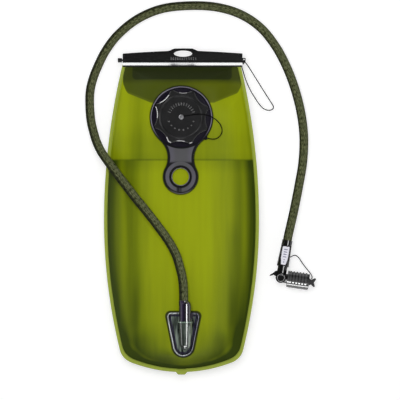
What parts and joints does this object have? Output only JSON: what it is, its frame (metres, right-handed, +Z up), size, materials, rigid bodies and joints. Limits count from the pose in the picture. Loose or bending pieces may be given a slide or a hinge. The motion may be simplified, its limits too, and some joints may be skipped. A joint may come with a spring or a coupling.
{
  "type": "hydration bladder",
  "caption": "Soft water reservoir with a fold-over slide closure, a screw-capped fill port with a ring handle, a plug-in hose, and a bite valve under a dirt shield.",
  "frame": {"origin": "on the floor under the middle of the bag, with the bag lying on its back", "axes": "+X across the bag to the right, +Y from its foot to its slide closure, +Z up, out of its front film"},
  "size_m": [0.3009, 0.486, 0.0585],
  "materials": {
    "film": "translucent, glossy",
    "fold": "translucent film, two layers",
    "stiffener": "matt",
    "rod_plastic": "satin",
    "slider_plastic": "satin with a glossy bead",
    "cord": "thin braided cord",
    "port_plastic": "glossy, slightly violet",
    "cap_plastic": "satin",
    "silicone": "silicone",
    "dark_rubber": "matt",
    "pin_steel": "satin",
    "spring_steel": "drawn wire",
    "grey_plastic": "smoky, glossy",
    "poppet_plastic": "matt",
    "hose_cover": "woven",
    "valve_plastic": "satin",
    "plate_plastic": "matt",
    "mouth_rubber": "matt"
  },
  "bodies": {
    "bag": {"front_film": "film", "back_film": "film", "fold_flap": "fold", "mouth_stiffener": "stiffener", "closure_rod": "rod_plastic", "fill_base": "port_plastic", "port_base": "grey_plastic", "port_spring": "spring_steel"},
    "slider": {"slider": "slider_plastic", "slider_lanyard": "cord"},
    "cap_carrier": {"cap_pin": "pin_steel", "cap_leash": "cord"},
    "cap": {"fill_cap": "cap_plastic", "cap_gasket": "silicone"},
    "hose_line": {"drink_plug": "port_plastic", "plug_o_ring": "dark_rubber", "button_spring": "spring_steel", "drink_hose": "hose_cover", "hose_ferrule": "valve_plastic"},
    "release_button": {"release_button": "port_plastic"},
    "poppet": {"port_poppet": "poppet_plastic", "poppet_seal": "dark_rubber"},
    "valve": {"valve_sleeve": "valve_plastic", "swivel_o_ring": "dark_rubber", "label_plate": "plate_plastic", "valve_elbow": "valve_plastic", "shield_leash": "cord"},
    "mouthpiece": {"mouthpiece": "mouth_rubber", "bite_membrane": "silicone"},
    "dirt_shield": {"dirt_shield": "valve_plastic"}
  },
  "joints": [
    {"name": "slider_slide", "type": "slide", "parent": "bag", "child": "slider", "axis": [1, 0, 0], "range_m": [0, 0.16]},
    {"name": "cap_lift", "type": "slide", "parent": "bag", "child": "cap_carrier", "axis": [0, 0, 1], "range_m": [0, 0.0101], "deforming": ["cap_leash"]},
    {"name": "cap_turn", "type": "hinge", "parent": "cap_carrier", "child": "cap", "pos_m": [0, 0.122, 0.05], "axis": [0, 0, 1], "range_deg": [0, 900]},
    {"name": "plug_pull", "type": "slide", "parent": "bag", "child": "hose_line", "axis": [0, 1, 0], "range_m": [0, 0.018]},
    {"name": "button_press", "type": "slide", "parent": "hose_line", "child": "release_button", "axis": [-1, 0, 0], "range_m": [0, 0.0015], "stiffness_N_per_m": 300, "deforming": ["button_spring"]},
    {"name": "poppet_close", "type": "slide", "parent": "bag", "child": "poppet", "axis": [0, 1, 0], "range_m": [0, 0.003], "deforming": ["port_spring"]},
    {"name": "valve_swivel", "type": "hinge", "parent": "hose_line", "child": "valve", "pos_m": [0.1291, -0.0863, 0.0111], "axis": [-0.1771, -0.9842, 0], "range_deg": [0, 135]},
    {"name": "valve_twist", "type": "hinge", "parent": "valve", "child": "mouthpiece", "pos_m": [0.1291, -0.0863, 0.0111], "axis": [0.9898, -0.1426, 0], "range_deg": [0, 90]},
    {"name": "shield_pull", "type": "slide", "parent": "valve", "child": "dirt_shield", "axis": [0.9898, -0.1426, 0], "range_m": [0, 0.03], "deforming": ["shield_leash"]}
  ],
  "couplings": [
    {"joint": "cap_lift", "follows": "cap_turn", "m_per_rad": 0.00063662},
    {"joint": "poppet_close", "follows": "plug_pull", "ratio": 0.16667}
  ]
}
